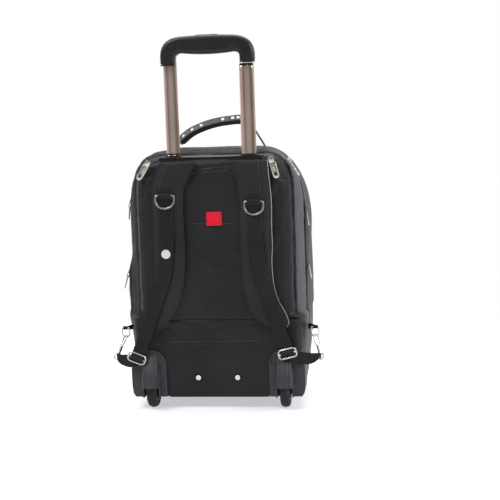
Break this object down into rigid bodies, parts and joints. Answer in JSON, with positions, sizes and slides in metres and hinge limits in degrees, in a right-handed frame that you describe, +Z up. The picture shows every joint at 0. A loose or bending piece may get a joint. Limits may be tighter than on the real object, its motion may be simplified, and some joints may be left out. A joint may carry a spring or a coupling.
{
  "type": "wheeled backpack",
  "caption": "Wheeled backpack with padded shoulder straps on its back, a telescopic pull handle, a moulded base and wheels, zipped soft compartments and a rubber carry handle.",
  "frame": {"origin": "on the ground, under the middle of the whole", "axes": "+Z up along the poles, +Y from the harness side to the front pockets, +X to the right of someone looking at the harness"},
  "size_m": [0.4022, 0.2744, 0.7],
  "materials": {
    "black_cloth": "woven nylon, matt",
    "grey_cloth": "woven nylon, matt",
    "zip_tape": "woven tape with coil teeth",
    "webbing": "ribbed webbing",
    "red_cloth": "woven tab",
    "black_plastic": "fine grain",
    "housing_plastic": "grained",
    "rubber": "matt",
    "tyre_rubber": "matt tread",
    "anodised_aluminium": "champagne anodised, drawn",
    "bright_steel": "polished nickel"
  },
  "bodies": {
    "bag": {"back_panel": "black_cloth", "base_plate": "black_plastic", "carry_grip": "rubber", "carry_strap": "webbing", "fabric_tab": "red_cloth", "front_pocket_lower": "black_cloth", "front_pocket_upper": "black_cloth", "front_wall": "black_cloth", "front_zip": "zip_tape", "hook_ring_left": "bright_steel", "hook_ring_right": "bright_steel", "hook_webbing_left": "webbing", "hook_webbing_right": "webbing", "lower_panel": "black_cloth", "main_shell": "black_cloth", "main_zip": "zip_tape", "outer_tube_left": "anodised_aluminium", "outer_tube_right": "anodised_aluminium", "rear_gusset": "black_cloth", "rear_zip_left": "zip_tape", "rear_zip_right": "zip_tape", "ring_tab_left": "webbing", "ring_tab_right": "webbing", "rivet_left": "bright_steel", "rivet_right": "bright_steel", "side_gusset": "grey_cloth", "side_pull_lower_left": "bright_steel", "side_pull_lower_right": "bright_steel", "side_pull_upper_left": "bright_steel", "side_pull_upper_right": "bright_steel", "snap_hook_left": "bright_steel", "snap_hook_right": "bright_steel", "strap_badge": "bright_steel", "strap_pad_left": "black_cloth", "strap_pad_right": "black_cloth", "strap_slide_left": "bright_steel", "strap_slide_right": "bright_steel", "strap_webbing_left": "webbing", "strap_webbing_right": "webbing", "top_bezel": "black_plastic", "wheel_housing_left": "housing_plastic", "wheel_housing_right": "housing_plastic"},
    "mid_right": {"mid_tube_right": "anodised_aluminium", "tube_collar_right": "black_plastic"},
    "mid_left": {"mid_tube_left": "anodised_aluminium", "tube_collar_left": "black_plastic"},
    "pull_handle": {"grip": "black_plastic", "inner_tube_left": "anodised_aluminium", "inner_tube_right": "anodised_aluminium"},
    "button": {"release_button": "black_plastic"},
    "wheel_left": {"wheel_tyre_left": "tyre_rubber", "wheel_hub_left": "black_plastic"},
    "wheel_right": {"wheel_tyre_right": "tyre_rubber", "wheel_hub_right": "black_plastic"},
    "ring_left": {"strap_ring_left": "bright_steel"},
    "ring_right": {"strap_ring_right": "bright_steel"},
    "pull_left": {"zip_pull_left": "bright_steel"},
    "pull_right": {"zip_pull_right": "bright_steel"},
    "pull_main": {"zip_pull_main": "bright_steel"}
  },
  "joints": [
    {"name": "stage_one", "type": "slide", "parent": "bag", "child": "mid_right", "axis": [0, 0, 1], "range_m": [-0.16, 0]},
    {"name": "stage_two", "type": "slide", "parent": "mid_right", "child": "pull_handle", "axis": [0, 0, 1], "range_m": [0, 0.16]},
    {"name": "stage_left", "type": "slide", "parent": "bag", "child": "mid_left", "axis": [0, 0, 1], "range_m": [0, 0.16]},
    {"name": "release", "type": "slide", "parent": "pull_handle", "child": "button", "axis": [0, 0, 1], "range_m": [-0.004, 0], "stiffness_N_per_m": 400, "springref_m": 0.003},
    {"name": "wheel_left_spin", "type": "hinge", "parent": "bag", "child": "wheel_left", "pos_m": [-0.127, -0.09315, 0.038], "axis": [1, 0, 0], "continuous": true},
    {"name": "wheel_right_spin", "type": "hinge", "parent": "bag", "child": "wheel_right", "pos_m": [0.127, -0.09315, 0.038], "axis": [1, 0, 0], "continuous": true},
    {"name": "ring_left_swing", "type": "hinge", "parent": "bag", "child": "ring_left", "pos_m": [-0.08443, -0.12575, 0.40915], "axis": [-1, 0, 0], "range_deg": [0, 165]},
    {"name": "ring_right_swing", "type": "hinge", "parent": "bag", "child": "ring_right", "pos_m": [0.08053, -0.12575, 0.39494], "axis": [-1, 0, 0], "range_deg": [0, 165]},
    {"name": "pull_left_swing", "type": "hinge", "parent": "bag", "child": "pull_left", "pos_m": [-0.11593, -0.10995, 0.46942], "axis": [-0.829, 0, 0.5592], "range_deg": [0, 120]},
    {"name": "pull_right_swing", "type": "hinge", "parent": "bag", "child": "pull_right", "pos_m": [0.11346, -0.10995, 0.47089], "axis": [-0.9613, 0, -0.2756], "range_deg": [0, 120]},
    {"name": "pull_main_swing", "type": "hinge", "parent": "bag", "child": "pull_main", "pos_m": [0.14246, -0.07465, 0.4679], "axis": [0, -1, 0], "range_deg": [0, 120]}
  ],
  "couplings": [
    {"joint": "stage_left", "follows": "stage_two", "ratio": 1}
  ]
}
